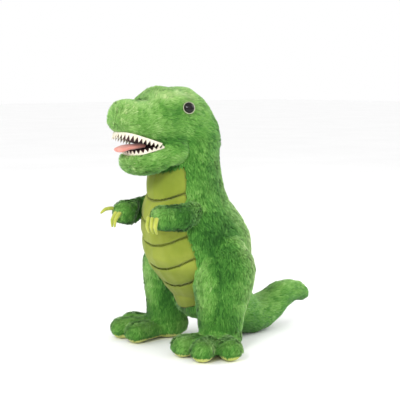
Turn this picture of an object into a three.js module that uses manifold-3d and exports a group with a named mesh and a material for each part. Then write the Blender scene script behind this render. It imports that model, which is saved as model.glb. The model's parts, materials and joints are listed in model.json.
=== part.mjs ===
// A standing stuffed toy dinosaur: fur fabric panels over fibre stuffing, with a sewn belly, felt teeth,
// tongue and claws, plastic eyes, and bean bags low down. Millimetres, +Z up, the toy faces -Y and its
// left side is +X. The origin is on the floor, under the middle of the toy's box.

import * as THREE from 'three';
import { LoftGeometry } from 'three/addons/geometries/LoftGeometry.js';
import { mergeVertices } from 'three/addons/utils/BufferGeometryUtils.js';
import Module from 'manifold-3d';

const wasm = await Module();
wasm.setup();
const { Manifold } = wasm;

// ---------------------------------------------------------------- driving dimensions

const PILE = 4; // fur fabric, backing and pile together
const GAP = 0.4; // between pieces that touch
const MOVING_GAP = 1.6; // between pieces that move against each other
const CENTRE_Y = -44.4; // puts the origin under the middle of the toy's box
const SIDES = [[1, 'left'], [-1, 'right']];

const NECK = new THREE.Vector3(0, -9, 228); // centre of the ball that the head nods on
const NECK_RADIUS = 52;
const JAW_HINGE = new THREE.Vector3(0, -48, 250);
const SHOULDER = new THREE.Vector3(42, -24, 173);
const TAIL_ROOT = new THREE.Vector3(0, 66, 45);

const NECK_SWING = 12; // degrees each way
const JAW_OPEN = 6;
const JAW_CLOSE = 2;
const ARM_SWING = 25;
const TAIL_SWING = 18;

const SOLE_THICKNESS = 2;
const ANKLE_CUT = 30; // height of the seam between leg and foot
const FOOT_SPLAY = 28; // degrees outwards
const TOE_SPREAD = 34;
const TOE_RADIUS = 15;
const TOE_CENTRE_Z = 13.5;

const LIP = new THREE.Vector3(0, -68, 257); // upper lip line, level with the mouth's corners
const LIP_SLOPE = 19; // degrees that the upper lip rises to the front
const CHIN_LIP = new THREE.Vector3(0, -62, 252); // lower lip line at the same place
const CHIN_SLOPE = 15; // degrees that the lower lip falls to the front
const LINING = 1.5;
const FELT = 1.6;
const EYE_RADIUS = 5.7;
const EYE_RIM_RADIUS = 7.3;

// ---------------------------------------------------------------- materials

function finish(color, roughness, metalness = 0) {
  return new THREE.MeshStandardMaterial({ color, roughness, metalness });
}

const furGreen = () => finish(0x5aa04b, 0.95);
const bellyGreen = () => finish(0xa3b04f, 0.9);
const soleGreen = () => finish(0xb0b552, 0.9);
const clawFelt = () => finish(0xb9bd4a, 0.9);
const toothFelt = () => finish(0xece7d3, 0.9);
const tongueFelt = () => finish(0xe69a8c, 0.9);
const mouthFabric = () => finish(0x3a1d1a, 0.95);
const eyeBlack = () => finish(0x0a0a0a, 0.08);
const eyeRing = () => finish(0xcfcabb, 0.3);
const washerPlastic = () => finish(0xe8e8e4, 0.4);
const fibre = () => finish(0xf2f2ee, 1);
const beanCloth = () => finish(0xd8d4c8, 0.95);

// ---------------------------------------------------------------- solids from three.js geometry

function signedVolume(positions, index) {
  const a = new THREE.Vector3();
  const b = new THREE.Vector3();
  const c = new THREE.Vector3();
  let total = 0;
  for (let i = 0; i < index.length; i += 3) {
    a.fromArray(positions, 3 * index[i]);
    b.fromArray(positions, 3 * index[i + 1]);
    c.fromArray(positions, 3 * index[i + 2]);
    total += a.dot(b.cross(c)) / 6;
  }
  return total;
}

function solid(geometry) {
  const bare = new THREE.BufferGeometry().copy(geometry);
  bare.deleteAttribute('normal');
  bare.deleteAttribute('uv');
  const merged = mergeVertices(bare, 1e-4);
  const vertProperties = new Float32Array(merged.attributes.position.array);
  const triVerts = new Uint32Array(merged.index.array);
  if (signedVolume(vertProperties, triVerts) < 0) {
    triVerts.reverse();
  }
  return new Manifold(new wasm.Mesh({ numProp: 3, vertProperties, triVerts }));
}

function largest(shape) {
  const parts = shape.decompose();
  parts.sort((a, b) => b.volume() - a.volume());
  return parts[0];
}

function joined(shapes) {
  return shapes.reduce((whole, shape) => whole.add(shape));
}

function placed(shape, matrix) {
  return shape.transform(matrix.elements);
}

function mesh(name, material, shape) {
  const { vertProperties, triVerts } = largest(shape).getMesh();
  const geometry = new THREE.BufferGeometry();
  geometry.setAttribute('position', new THREE.BufferAttribute(Float32Array.from(vertProperties), 3));
  geometry.setIndex(new THREE.BufferAttribute(Uint32Array.from(triVerts), 1));
  geometry.computeVertexNormals();
  const piece = new THREE.Mesh(geometry, material);
  piece.name = name;
  return piece;
}

// A box given by its lowest and highest corners.
function block(low, high) {
  const geometry = new THREE.BoxGeometry(high[0] - low[0], high[1] - low[1], high[2] - low[2]);
  geometry.translate((low[0] + high[0]) / 2, (low[1] + high[1]) / 2, (low[2] + high[2]) / 2);
  return solid(geometry);
}

function ball(centre, radius, around = 24) {
  const geometry = new THREE.SphereGeometry(radius, around, around / 2);
  geometry.translate(centre.x, centre.y, centre.z);
  return solid(geometry);
}

function turned(profile, around = 12) {
  const points = profile.map(([radius, height]) => new THREE.Vector2(radius, height));
  const geometry = new THREE.LatheGeometry(points, around);
  geometry.rotateX(Math.PI / 2);
  return solid(geometry);
}

function plate(points, thickness) {
  const shape = new THREE.Shape(points.map(([x, y]) => new THREE.Vector2(x, y)));
  return solid(new THREE.ExtrudeGeometry(shape, { depth: thickness, bevelEnabled: false }));
}

// ---------------------------------------------------------------- soft forms

function signedPower(value, power) {
  return Math.sign(value) * Math.abs(value) ** power;
}

// A stuffed form along a spine. Each station is [x, y, z, half width, half depth]: the width runs along X
// and the depth across both X and the spine. `outset` swells the form, and a negative one shrinks it.
// `square` above 2 makes its sections boxy. Both ends are rounded. Cavities and fillings have fewer sides
// than the skins around them.
function softForm(stations, { outset = 0, around = 12, rows = stations.length, square = 2 } = {}) {
  const spine = new THREE.CatmullRomCurve3(stations.map(([x, y, z]) => new THREE.Vector3(x, y, z)));
  const sizes = new THREE.CatmullRomCurve3(stations.map((s) => new THREE.Vector3(s[3], s[4], 0)));
  const side = new THREE.Vector3(1, 0, 0);
  const inner = outset <= -PILE;
  const sides = inner ? 2 * Math.round(0.3 * around) : around;
  const lengths = inner ? Math.ceil(0.6 * rows) : rows;
  const sections = [];
  function addRing(t, slide, shrink) {
    const along = spine.getTangent(t);
    const size = sizes.getPoint(t);
    const width = (size.x + outset) * shrink;
    const depth = (size.y + outset) * shrink;
    const up = new THREE.Vector3().crossVectors(along, side).normalize();
    const across = new THREE.Vector3().crossVectors(up, along).normalize();
    const centre = spine.getPoint(t).addScaledVector(along, slide * (size.y + outset));
    const ring = [];
    for (let k = 0; k < sides; k += 1) {
      const angle = (2 * Math.PI * k) / sides;
      const u = signedPower(Math.cos(angle), 2 / square) * width;
      const v = signedPower(Math.sin(angle), 2 / square) * depth;
      ring.push(centre.clone().addScaledVector(across, u).addScaledVector(up, v));
    }
    sections.push(ring);
  }
  const roundness = 0.75; // length of a rounded end over the form's half depth there
  const steps = [68, 36].map(THREE.MathUtils.degToRad);
  for (const angle of steps) {
    addRing(0, -roundness * Math.sin(angle), Math.cos(angle));
  }
  for (let row = 0; row <= lengths; row += 1) {
    addRing(row / lengths, 0, 1);
  }
  for (const angle of steps.toReversed()) {
    addRing(1, roundness * Math.sin(angle), Math.cos(angle));
  }
  return solid(new LoftGeometry(sections, { capStart: true, capEnd: true }));
}

function mirrored(stations, sign) {
  return stations.map(([x, ...rest]) => [sign * x, ...rest]);
}

function turnAbout(pivot, axis, degrees) {
  const turn = new THREE.Matrix4().makeRotationAxis(axis, THREE.MathUtils.degToRad(degrees));
  const back = new THREE.Matrix4().makeTranslation(pivot.x, pivot.y, pivot.z);
  const away = new THREE.Matrix4().makeTranslation(-pivot.x, -pivot.y, -pivot.z);
  return back.multiply(turn).multiply(away);
}

// Everything that the obstacle sweeps through when it turns about the pivot by each of the angles.
function swept(obstacle, pivot, axis, angles) {
  return joined(angles.map((angle) => placed(obstacle, turnAbout(pivot, axis, angle))));
}

const X_AXIS = new THREE.Vector3(1, 0, 0);
const Z_AXIS = new THREE.Vector3(0, 0, 1);

// ---------------------------------------------------------------- stations of the soft forms

const TORSO = [
  [0, 18, 56, 33, 36],
  [0, 21, 68, 45, 49],
  [0, 22, 85, 52, 57],
  [0, 20, 104, 57, 63],
  [0, 15, 122, 61, 68],
  [0, 7, 141, 61, 69],
  [0, 0, 158, 59, 65],
  [0, -5.5, 176, 54, 58.5],
  [0, -7, 195, 48, 50.5],
  [0, -8.5, 212, 45, 46.5],
  [0, -9, 232, 43.5, 44],
  [0, -9, 256, 43.5, 44],
];

const CRANIUM = [
  [0, -9, 232, 43, 43],
  [0, -8, 258, 44, 45],
  [0, -13, 278, 41, 39.5],
  [0, -20, 293, 38, 34.5],
  [0, -26, 303, 34, 29],
];

const SNOUT = [
  [0, -20, 285, 40.5, 35],
  [0, -45, 286, 39.5, 37],
  [0, -62, 283, 36.5, 34],
  [0, -76, 281, 32, 28],
  [0, -92, 284, 28, 22.5],
  [0, -106, 288, 23, 17.5],
];

const JAW = [
  [0, -48, 241, 38, 17],
  [0, -62, 240, 35, 19.5],
  [0, -77, 237, 30, 19],
  [0, -89, 236, 24.5, 16],
];

const ARM = [
  [42, -24, 173, 20, 21],
  [43, -45, 171, 18, 19],
  [40, -62, 171.5, 15.5, 16.5],
  [36.5, -77, 173, 15, 15.5],
];

const THIGH = [
  [48, 14, 128, 24, 28],
  [50, 13, 114, 33, 37],
  [51, 12, 97, 36, 41],
  [52, 9, 75, 33, 37],
  [52, 6, 52, 29.5, 31],
  [52, 5, 34, 27.5, 28],
  [52, 5, 20, 27, 27],
];

const TAIL = [
  [0, 50, 56, 38, 36],
  [0, 76, 36, 31, 30],
  [0, 102, 24.5, 25, 25.5],
  [0, 130, 28, 22, 22.5],
  [0, 159, 43, 18, 19],
  [0, 186, 48, 13, 13.5],
  [0, 202, 42, 8, 8],
];

// ---------------------------------------------------------------- torso

const torsoOptions = { around: 20, rows: 11 };

// The neck's top is a dome around the neck's centre, so that the head can nod on it.
function torsoForm(outset) {
  const form = softForm(TORSO, { ...torsoOptions, outset });
  const below = block([-90, -90, 0], [90, 110, NECK.z]);
  return form.intersect(below.add(ball(NECK, NECK_RADIUS + outset)));
}

// Slightly larger and plainer than the torso: what moving pieces must stay clear of.
function torsoEnvelope(outset) {
  return softForm(TORSO, { around: 16, rows: 9, outset: outset + 2 });
}

const BELLY_TOP = 222;
const BELLY_TIP = 46;
const BELLY_SEAMS = [186, 157, 131, 101, 78]; // heights of the cross seams on the centre line
const SEAM_RISE = 0.008; // each seam climbs by this times the distance from the centre, squared

// Half the belly's width at a height: narrow at the throat, widest low on the belly, closing to a tip.
function bellyHalfWidth(z) {
  const widest = 45;
  const widestAt = 115;
  if (z > widestAt) {
    return widest - 13 * ((z - widestAt) / (BELLY_TOP - widestAt)) ** 0.9;
  }
  return widest * Math.sqrt(Math.max(0, 1 - ((widestAt - z) / (widestAt - BELLY_TIP)) ** 4)) + 0.5;
}

// The outline, seen from the front, of the belly between two cross seams.
function bellyOutline(low, high, margin) {
  const steps = 6;
  const sideShares = [0.1, 0.3, 0.6];
  const half = (level) => bellyHalfWidth(level) + 2 * margin;
  const point = (x, level) => [x, level + SEAM_RISE * x * x];
  const acrossAt = (level, edge, direction) => {
    const row = [];
    for (let k = 0; k <= steps; k += 1) {
      row.push(point(direction * half(level) * (-1 + (2 * k) / steps), edge));
    }
    return row;
  };
  const sideLevels = sideShares.map((share) => low + (high - low) * share);
  return [
    ...acrossAt(low, low - margin, 1),
    ...sideLevels.map((level) => point(half(level), level)),
    ...acrossAt(high, high + margin, -1),
    ...sideLevels.toReversed().map((level) => point(-half(level), level)),
  ];
}

// The same outline as a solid that runs from well in front of the toy to its middle.
function bellyPrism(low, high, margin) {
  const depth = 110;
  const prism = plate(bellyOutline(low, high, margin), depth);
  const upright = new THREE.Matrix4().makeRotationX(Math.PI / 2);
  return placed(prism, upright);
}

function bellyBands(margin) {
  const levels = [BELLY_TOP, ...BELLY_SEAMS, BELLY_TIP];
  const bands = [];
  for (let k = 0; k + 1 < levels.length; k += 1) {
    bands.push(bellyPrism(levels[k + 1], levels[k], margin));
  }
  return bands;
}

function halved(shape, sign) {
  const reach = 300;
  const edge = GAP / 2;
  const low = sign > 0 ? [edge, -reach, -reach] : [-reach, -reach, -reach];
  const high = sign > 0 ? [reach, reach, 2 * reach] : [-edge, reach, 2 * reach];
  return shape.intersect(block(low, high));
}

function torsoPieces() {
  const group = new THREE.Group();
  const openTop = block([-90, -90, NECK.z + 24], [90, 90, 330]);
  const shell = torsoForm(0).subtract(torsoForm(-PILE)).subtract(openTop);
  const cut = joined(bellyBands(GAP / 2));
  const fur = shell.subtract(cut);
  for (const [sign, side] of SIDES) {
    group.add(mesh(`body_fur_${side}`, furGreen(), halved(fur, sign)));
  }
  bellyBands(-GAP / 2).forEach((band, k) => {
    group.add(mesh(`belly_panel_${k + 1}`, bellyGreen(), shell.intersect(band)));
  });
  const beans = ball(new THREE.Vector3(0, 18, 72), 26, 12);
  const room = ball(new THREE.Vector3(0, 18, 72), 26 + GAP, 12);
  group.add(mesh('torso_bean_bag', beanCloth(), beans));
  const port = block([-3, 18, 20], [3, 24, 72]);
  const filling = torsoForm(-PILE - GAP).subtract(room).subtract(port);
  group.add(mesh('torso_stuffing', fibre(), filling));
  return group;
}

// ---------------------------------------------------------------- legs and feet

function toeForm(sign, splay, reach, outset) {
  const angle = THREE.MathUtils.degToRad(splay);
  const forward = [sign * Math.sin(angle), -Math.cos(angle)];
  const ankle = [sign * 52, 5];
  const at = (distance, radius) => [
    ankle[0] + forward[0] * distance,
    ankle[1] + forward[1] * distance,
    TOE_CENTRE_Z,
    radius,
    radius,
  ];
  const stations = [at(8, TOE_RADIUS - 1), at(28, TOE_RADIUS - 1.5), at(reach, TOE_RADIUS)];
  return softForm(stations, { outset, around: 10, rows: 3 });
}

function toes(sign, outset) {
  const reaches = [[-1, 58], [0, 63], [1, 54]];
  return reaches.map(([turn, reach]) => toeForm(sign, FOOT_SPLAY + turn * TOE_SPREAD, reach, outset));
}

function footForm(sign, outset) {
  const heel = ball(new THREE.Vector3(sign * 52, 5, 20), 27 + outset, 12);
  const floor = block([-200, -200, SOLE_THICKNESS + GAP], [200, 200, 90]);
  return joined([heel, ...toes(sign, outset)]).intersect(floor);
}

function legForm(sign, outset) {
  return softForm(mirrored(THIGH, sign), { outset, around: 14, rows: 7 });
}

function solePlate(sign) {
  const slab = block([-200, -200, 0], [200, 200, SOLE_THICKNESS]);
  const heel = ball(new THREE.Vector3(sign * 52, 5, 14), 21, 12);
  return joined([heel, ...toes(sign, -0.8)]).intersect(slab);
}

function legPieces(sign, side) {
  const group = new THREE.Group();
  const bodyWall = torsoForm(GAP);
  const above = block([-200, -200, ANKLE_CUT + GAP], [200, 200, 300]);
  const below = block([-200, -200, 0], [200, 200, ANKLE_CUT]);
  const foot = footForm(sign, 0).intersect(below);
  const footInside = joined(toes(sign, -PILE)).add(
    ball(new THREE.Vector3(sign * 52, 5, 22), 27 - PILE, 8),
  );
  const clearOfFeet = joined(toes(sign, GAP));
  const leg = legForm(sign, 0).subtract(legForm(sign, -PILE));
  group.add(mesh(`leg_fur_${side}`, furGreen(), leg.intersect(above).subtract(bodyWall).subtract(clearOfFeet)));
  const soleTop = SOLE_THICKNESS + 3;
  const raised = block([-200, -200, soleTop], [200, 200, 90]);
  const hollow = footInside.intersect(raised);
  group.add(mesh(`foot_fur_${side}`, furGreen(), foot.subtract(hollow)));
  group.add(mesh(`sole_${side}`, soleGreen(), solePlate(sign)));
  const bagCentre = new THREE.Vector3(sign * 52, 3, 18);
  const bag = ball(bagCentre, 10, 8);
  const bagRoom = ball(bagCentre, 10 + GAP, 8);
  const port = block([sign * 52 - 2, 1, 5], [sign * 52 + 2, 5, 18]);
  const filling = joined(toes(sign, -PILE - GAP))
    .add(ball(new THREE.Vector3(sign * 52, 5, 22), 27 - PILE - GAP, 8))
    .intersect(block([-200, -200, soleTop + GAP], [200, 200, 90]))
    .add(legForm(sign, -PILE - GAP).intersect(above))
    .subtract(torsoForm(2 * GAP))
    .subtract(bagRoom)
    .subtract(port);
  group.add(mesh(`foot_bean_bag_${side}`, beanCloth(), bag));
  group.add(mesh(`leg_stuffing_${side}`, fibre(), filling));
  return group;
}

// ---------------------------------------------------------------- tail

function tailForm(outset) {
  const floor = block([-90, 0, Math.max(0, -outset)], [90, 300, 200]);
  return softForm(TAIL, { outset, around: 12, rows: 9 }).intersect(floor);
}

function tailPieces() {
  const group = new THREE.Group();
  const angles = [-TAIL_SWING, -TAIL_SWING / 2, 0, TAIL_SWING / 2, TAIL_SWING];
  const legs = SIDES.map(([sign]) => legForm(sign, MOVING_GAP));
  const body = joined([torsoEnvelope(MOVING_GAP), ...legs]);
  const path = swept(body, TAIL_ROOT, Z_AXIS, angles);
  const shell = tailForm(0).subtract(tailForm(-PILE)).subtract(path);
  for (const [sign, side] of SIDES) {
    group.add(mesh(`tail_fur_${side}`, furGreen(), halved(shell, sign)));
  }
  const filling = tailForm(-PILE - GAP).subtract(path);
  group.add(mesh('tail_stuffing', fibre(), filling));
  return group;
}

// ---------------------------------------------------------------- arms and claws

// A claw is a slim curved horn of felt: out of the hand's end, then hooked down.
function clawForm(root, droop, outset) {
  const angle = THREE.MathUtils.degToRad(droop);
  const hook = THREE.MathUtils.degToRad(droop + 30);
  const ahead = root.clone().add(new THREE.Vector3(0, -Math.cos(angle) * 10, -Math.sin(angle) * 10));
  const tip = ahead.clone().add(new THREE.Vector3(0, -Math.cos(hook) * 8, -Math.sin(hook) * 8));
  const stations = [
    [root.x, root.y, root.z, 2.4, 2],
    [ahead.x, ahead.y, ahead.z, 2, 1.6],
    [tip.x, tip.y, tip.z, 0.6, 0.6],
  ];
  return softForm(stations, { outset, around: 6, rows: 4 });
}

function claws(sign, outset) {
  const hand = new THREE.Vector3(sign * 36.5, -77, 173.5);
  const droops = sign > 0 ? [78, 80, 78] : [52, 58, 2];
  return droops.map((droop, k) => {
    const spread = sign * (k - 1) * 7.5;
    const raise = droop > 45 ? -3 : 2;
    const root = hand.clone().add(new THREE.Vector3(spread, -11, raise));
    return clawForm(root, droop, outset);
  });
}

function armPieces(sign, side) {
  const group = new THREE.Group();
  const stations = mirrored(ARM, sign);
  const form = (outset) => softForm(stations, { outset, around: 12, rows: 6 });
  const shoulder = new THREE.Vector3(sign * SHOULDER.x, SHOULDER.y, SHOULDER.z);
  const angles = [-ARM_SWING, -ARM_SWING / 2, 0, ARM_SWING / 2, ARM_SWING];
  const path = swept(torsoEnvelope(MOVING_GAP), shoulder, X_AXIS, angles);
  const shell = form(0).subtract(form(-PILE)).subtract(path);
  const roots = joined(claws(sign, GAP));
  group.add(mesh(`arm_fur_${side}`, furGreen(), shell.subtract(roots)));
  group.add(mesh(`arm_stuffing_${side}`, fibre(), form(-PILE - GAP).subtract(path).subtract(roots)));
  claws(sign, 0).forEach((claw, k) => {
    group.add(mesh(`claw_${side}_${k + 1}`, clawFelt(), claw));
  });
  return group;
}

// ---------------------------------------------------------------- head

function lipPlane(origin, slope, lift) {
  const turn = new THREE.Matrix4().makeRotationX(-THREE.MathUtils.degToRad(slope));
  return new THREE.Matrix4().makeTranslation(origin.x, origin.y, origin.z + lift).multiply(turn);
}

const upperLip = (lift) => lipPlane(LIP, LIP_SLOPE, lift);
const lowerLip = (lift) => lipPlane(CHIN_LIP, -CHIN_SLOPE, lift);

function snoutForm(outset) {
  const form = softForm(SNOUT, { outset, around: 16, rows: 8, square: 2.5 });
  const above = placed(block([-90, -90, -outset], [90, 160, 120]), upperLip(0));
  return form.intersect(above);
}

function headForm(outset) {
  const cranium = softForm(CRANIUM, { outset, around: 16, rows: 5, square: 2.15 });
  return cranium.add(snoutForm(outset));
}

// Matrix that stands a turned piece on the head, its axis along the given way out.
function eyePlace(sign) {
  const out = new THREE.Vector3(sign * 0.9, -0.38, 0.22).normalize();
  const seat = new THREE.Vector3(sign * 38.6, -34, 299);
  const turn = new THREE.Quaternion().setFromUnitVectors(Z_AXIS, out);
  return new THREE.Matrix4().compose(seat, turn, new THREE.Vector3(1, 1, 1));
}

const EYE_SHANK = 2.2;
const SHANK_LENGTH = 15;
const WASHER_DEPTH = 11;

function eyeProfile(grow) {
  const dome = [];
  const steps = 4;
  for (let k = 0; k <= steps; k += 1) {
    const angle = (Math.PI / 2) * (1 - k / steps);
    dome.push([(EYE_RADIUS + grow) * Math.cos(angle), 0.6 + (3.6 + grow) * Math.sin(angle)]);
  }
  dome[0][0] = 0;
  const shank = EYE_SHANK + grow;
  return [...dome, [EYE_RADIUS + grow, -grow], [shank, -grow], [shank, -SHANK_LENGTH - grow],
    [0, -SHANK_LENGTH - grow]];
}

function rimProfile() {
  const inner = EYE_RADIUS + 0.3;
  const height = 1.2;
  return [[inner, 0], [EYE_RIM_RADIUS, 0], [EYE_RIM_RADIUS - 0.3, height * 0.7],
    [inner + 0.4, height], [inner, height * 0.8], [inner, 0]];
}

function washerProfile() {
  const bore = EYE_SHANK + 0.3;
  return [[bore, -WASHER_DEPTH - 1.5], [8, -WASHER_DEPTH - 1.5], [8, -WASHER_DEPTH],
    [bore, -WASHER_DEPTH], [bore, -WASHER_DEPTH - 1.5]];
}

function eyeRoom() {
  const seat = [[0, 12], [EYE_RIM_RADIUS + GAP, 12], [EYE_RIM_RADIUS + GAP, -0.3],
    [EYE_SHANK + GAP, -0.3], [EYE_SHANK + GAP, -SHANK_LENGTH - 1],
    [0, -SHANK_LENGTH - 1]];
  return turned(seat);
}

function washerRoom() {
  return turned([[0, -PILE], [9, -PILE], [9, -WASHER_DEPTH - 2.2], [0, -WASHER_DEPTH - 2.2]]);
}

// Half the mouth's width, a given share of the way from its corners to its front.
function mouthHalfWidth(share, corner, front) {
  const taper = corner + (front - corner) * share;
  return taper * Math.max(0, 1 - share ** 5) ** 0.25;
}

// The mouth's outline in the plane of a lip: X across, and -Y to the front.
function mouthOutline({ corner, front, length }, inset) {
  const steps = 10;
  const points = [];
  for (const sign of [1, -1]) {
    for (let k = 0; k < steps; k += 1) {
      const share = (sign > 0 ? k : steps - 1 - k) / (steps - 1);
      const half = mouthHalfWidth(share, corner - inset, front - inset);
      if (!(sign < 0 && k === 0)) {
        points.push([sign * half, -share * (length - inset)]);
      }
    }
  }
  return points;
}

const UPPER_MOUTH = { corner: 34, front: 24, length: 46, teeth: 22, gum: 1.5, tooth: 8 };
const LOWER_MOUTH = { corner: 32, front: 22, length: 38, teeth: 18, gum: 1.2, tooth: 5.6 };

function lining(mouth, place) {
  const sheet = plate(mouthOutline(mouth, 6), LINING);
  return placed(sheet, place);
}

// A strip of felt that stands on the mouth's outline, its free edge cut into points. `reach` is +1 for
// teeth that stand up and -1 for teeth that hang down.
function toothStrip({ corner, front, length, teeth, gum, tooth }, reach, place) {
  const path = new THREE.CatmullRomCurve3(
    mouthOutline({ corner, front, length }, 3.4).map(([x, y]) => new THREE.Vector3(x, y, 0)),
  );
  const sections = [];
  const count = 2 * teeth;
  for (let k = 0; k <= count; k += 1) {
    const at = path.getPointAt(k / count);
    const along = path.getTangentAt(k / count);
    const out = new THREE.Vector3(along.y, -along.x, 0).normalize();
    const ahead = Math.sin((Math.PI * k) / count);
    const tip = k % 2 === 1 ? tooth * (0.6 + 0.4 * ahead) : 0;
    const edge = reach * (gum + tip);
    const thin = k % 2 === 1 ? 0.25 : 0.5;
    const half = FELT / 2;
    const corners = [[half, 0], [-half, 0], [-FELT * thin, edge], [FELT * thin, edge]];
    if (reach < 0) {
      corners.reverse();
    }
    sections.push(corners.map(([u, z]) => at.clone().addScaledVector(out, u).setZ(z)));
  }
  return placed(solid(new LoftGeometry(sections, { capStart: true, capEnd: true })), place);
}

function headPieces() {
  const group = new THREE.Group();
  const socket = ball(NECK, NECK_RADIUS + MOVING_GAP);
  const under = block([-90, -140, 150], [90, 90, NECK.z + 20]);
  const rooms = SIDES.map(([sign]) => placed(eyeRoom(), eyePlace(sign)));
  const washers = SIDES.map(([sign]) => placed(washerRoom(), eyePlace(sign)));
  const fur = headForm(0)
    .subtract(headForm(-PILE))
    .subtract(socket)
    .subtract(under)
    .subtract(joined(rooms));
  for (const [sign, side] of SIDES) {
    group.add(mesh(`head_fur_${side}`, furGreen(), halved(fur, sign)));
  }
  const fill = headForm(-PILE - GAP)
    .subtract(ball(NECK, NECK_RADIUS + MOVING_GAP + GAP))
    .subtract(under)
    .subtract(joined([...rooms, ...washers]));
  group.add(mesh('head_stuffing', fibre(), fill));
  for (const [sign, side] of SIDES) {
    group.add(mesh(`eye_${side}`, eyeBlack(), placed(turned(eyeProfile(0)), eyePlace(sign))));
    group.add(mesh(`eye_ring_${side}`, eyeRing(), placed(turned(rimProfile()), eyePlace(sign))));
    group.add(mesh(`eye_washer_${side}`, washerPlastic(), placed(turned(washerProfile()), eyePlace(sign))));
  }
  group.add(mesh('mouth_lining_upper', mouthFabric(), lining(UPPER_MOUTH, upperLip(-LINING - GAP))));
  group.add(mesh('teeth_upper', toothFelt(), toothStrip(UPPER_MOUTH, -1, upperLip(-GAP))));
  return group;
}

// ---------------------------------------------------------------- lower jaw

function jawForm(outset) {
  const form = softForm(JAW, { outset, around: 14, rows: 5, square: 2.3 });
  const below = placed(block([-90, -90, -120], [90, 90, outset]), lowerLip(0));
  return form.intersect(below);
}

function tongueForm() {
  const stations = [
    [0, -77, 254.2, 9, 2.1],
    [0, -88, 253.4, 10.5, 2.3],
    [0, -99, 252.9, 10.8, 2.3],
    [0, -109, 250.2, 9.5, 2.2],
  ];
  return softForm(stations, { around: 10, rows: 6, square: 2.2 });
}

function jawPieces() {
  const group = new THREE.Group();
  const nods = [-NECK_SWING, 0, NECK_SWING];
  const swings = [-JAW_OPEN, 0, JAW_CLOSE];
  const neckPath = swept(torsoEnvelope(MOVING_GAP), NECK, X_AXIS, nods);
  const headWall = headForm(MOVING_GAP).add(ball(NECK, NECK_RADIUS + MOVING_GAP));
  const path = swept(neckPath.add(headWall), JAW_HINGE, X_AXIS, swings);
  const shell = jawForm(0).subtract(jawForm(-PILE));
  group.add(mesh('jaw_fur', furGreen(), shell.subtract(path)));
  group.add(mesh('jaw_stuffing', fibre(), jawForm(-PILE - GAP).subtract(path)));
  group.add(mesh('mouth_lining_lower', mouthFabric(), lining(LOWER_MOUTH, lowerLip(GAP)).subtract(path)));
  group.add(mesh('teeth_lower', toothFelt(), toothStrip(LOWER_MOUTH, 1, lowerLip(GAP)).subtract(path)));
  group.add(mesh('tongue', tongueFelt(), tongueForm().subtract(path)));
  return group;
}

// ---------------------------------------------------------------- the toy

const toy = new THREE.Group();
toy.position.y = CENTRE_Y;
toy.add(torsoPieces());
for (const [sign, side] of SIDES) {
  toy.add(legPieces(sign, side));
  toy.add(armPieces(sign, side));
}
toy.add(tailPieces());
toy.add(headPieces());
toy.add(jawPieces());

export default toy;
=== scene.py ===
"""A standing stuffed toy dinosaur: fur fabric skins with a real pile, a sewn velour belly, felt teeth,
tongue and claws, and domed plastic eyes. Metres, +Z up, the toy faces -Y and its left side is +X."""

import json
import math

import bmesh
import bpy
import numpy as np
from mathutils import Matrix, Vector
from mathutils.bvhtree import BVHTree


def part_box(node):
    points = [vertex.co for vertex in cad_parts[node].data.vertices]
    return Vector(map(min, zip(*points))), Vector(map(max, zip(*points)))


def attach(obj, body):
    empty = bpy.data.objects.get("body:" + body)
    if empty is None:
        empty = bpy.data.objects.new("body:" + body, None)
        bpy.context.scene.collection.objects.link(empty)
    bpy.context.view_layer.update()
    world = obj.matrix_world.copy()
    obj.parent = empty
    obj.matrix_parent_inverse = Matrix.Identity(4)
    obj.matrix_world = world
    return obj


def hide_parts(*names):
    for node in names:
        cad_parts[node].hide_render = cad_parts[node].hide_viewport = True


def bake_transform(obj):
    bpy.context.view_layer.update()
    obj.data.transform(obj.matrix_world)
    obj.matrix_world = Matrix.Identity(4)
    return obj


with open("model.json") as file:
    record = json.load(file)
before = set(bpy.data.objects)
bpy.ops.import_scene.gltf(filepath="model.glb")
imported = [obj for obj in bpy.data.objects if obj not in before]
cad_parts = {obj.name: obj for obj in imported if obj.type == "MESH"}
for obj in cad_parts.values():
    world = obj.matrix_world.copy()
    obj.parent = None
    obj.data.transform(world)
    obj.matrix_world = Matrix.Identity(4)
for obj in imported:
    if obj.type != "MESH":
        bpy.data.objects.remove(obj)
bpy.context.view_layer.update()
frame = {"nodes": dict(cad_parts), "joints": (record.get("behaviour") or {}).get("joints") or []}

MM = 0.001
SIDES = ((1, "left"), (-1, "right"))


def mm(x, y, z):
    """A place or a size in metres, given in millimetres."""
    return np.array([x, y, z]) * MM


JOINTS = {joint["name"]: joint for joint in frame["joints"]}
NECK = np.array(JOINTS["neck_nod"]["pos_m"])
JAW_HINGE = np.array(JOINTS["jaw_swing"]["pos_m"])
TAIL_ROOT = np.array(JOINTS["tail_wag"]["pos_m"])
SHOULDERS = {side: np.array(JOINTS[f"shoulder_{side}"]["pos_m"]) for _, side in SIDES}
NECK_RADIUS = 44 * MM
HEAD_START = NECK[2] + 30 * MM  # the fabric above this height turns with the head
SOLE_EDGE = 6.5 * MM  # height of the seam between sole and foot
ANKLE = 30 * MM  # height of the seam between foot and leg
BELLY = [f"belly_panel_{k}" for k in range(1, 7)]
FOLD_SHADE = 0.25  # how much painted shade darkens the fur in a fold
PILE = 7 * MM  # length of the pile
PILE_STANDS = 1.5 * MM  # how far the pile rises from its backing
FLOOR_GAP = 0.3 * MM  # how far the lowest fabric stays above the floor
TAIL_GAP = 0.5 * MM
TUFT = 5.5 * MM  # size of the tufts that the pile gathers in
WISP = 2.5 * MM  # and of the smaller wisps within a tuft
SWIRL = 22 * MM  # over what distance the pile's direction wanders
LAY = 0.9  # how far the pile lies over: 0 upright, 1 flat
TONE_LIMITS = (0.02, 0.98)
BLADE_SHADE = 0.09  # how much one blade differs from the next
TUFT_SHADE = 0.06  # how much one tuft differs from the next
PUFF_FRAMES = 12
PUFF_PRESSURE = 4
DOME_STEPS = 12


# ---------------------------------------------------------------- meshes as arrays


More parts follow.
